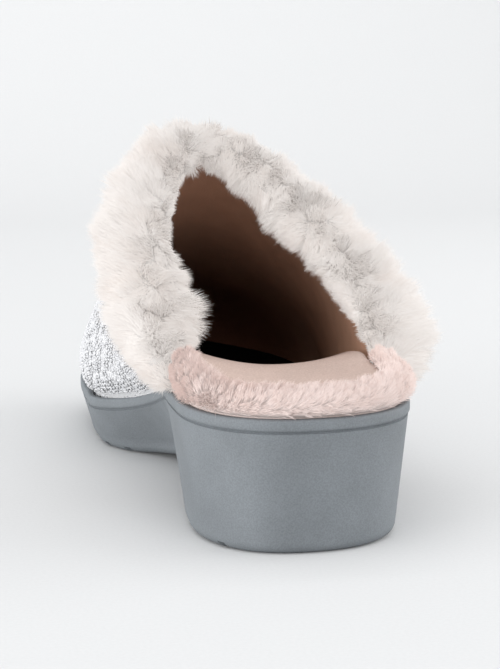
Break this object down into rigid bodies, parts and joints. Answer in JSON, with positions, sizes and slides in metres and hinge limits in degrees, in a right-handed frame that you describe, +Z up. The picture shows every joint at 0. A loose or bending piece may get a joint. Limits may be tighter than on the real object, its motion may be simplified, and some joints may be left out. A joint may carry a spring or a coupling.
{
  "type": "fabric slipper",
  "caption": "Backless wedge-sole slipper with a knit fabric upper, a deep fur cuff at the collar and a plush roll around the heel of its cushioned footbed.",
  "frame": {"origin": "on the floor under the middle of the heel, at the flat heel rest face", "axes": "+Y from heel to toe, +X to the outer side of this right shoe, +Z up"},
  "size_m": [0.107, 0.2429, 0.1201],
  "materials": {
    "sole_grey": "matte moulded foam rubber with a fine bead-blasted skin",
    "footbed_foam": "soft foam board",
    "sock_beige": "short napped synthetic suede",
    "plush_rose": "short dense plush pile",
    "knit_grey": "chunky two-tone yarn knit",
    "fur_cream": "deep soft synthetic fur pile"
  },
  "bodies": {
    "root": {"outsole": "sole_grey", "footbed": "footbed_foam", "insole_sock": "sock_beige", "heel_plush": "plush_rose", "upper": "knit_grey", "fur_collar": "fur_cream"}
  },
  "joints": []
}
